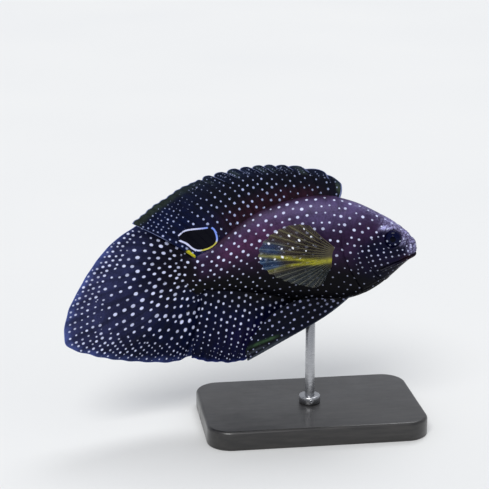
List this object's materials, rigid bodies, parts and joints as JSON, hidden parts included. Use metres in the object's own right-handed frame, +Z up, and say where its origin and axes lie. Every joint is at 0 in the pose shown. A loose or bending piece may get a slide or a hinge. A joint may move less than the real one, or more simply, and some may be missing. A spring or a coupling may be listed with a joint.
{
  "type": "marine betta",
  "caption": "Reef fish model with a deep head, a long fan-shaped tail, tall dorsal and anal fins and an eye-like spot, bent gently and held over a flat base by a rod.",
  "frame": {"origin": "centre of the underside of the stand's base, under the rod", "axes": "+X the way the fish swims, +Y to the fish's left, +Z up"},
  "size_m": [0.1482, 0.0596, 0.1106],
  "materials": {
    "skin": "dark purple-black fish skin with pale spots",
    "fin": "blue-black fin membrane with pale spots",
    "pectoral": "yellow-olive translucent fin membrane",
    "eye": "wet dark eye",
    "base": "black satin",
    "steel": "brushed"
  },
  "bodies": {
    "root": {"head": "skin", "lower_jaw": "skin", "trunk": "skin", "tail_stalk": "skin", "eye_right": "eye", "eye_left": "eye", "dorsal_spiny": "fin", "dorsal_soft": "fin", "anal_fin": "fin", "caudal_fin": "fin", "pelvic_right": "fin", "pelvic_left": "fin", "pectoral_right": "pectoral", "pectoral_left": "pectoral", "stand_base": "base", "stand_collar": "steel", "stand_rod": "steel"}
  },
  "joints": []
}
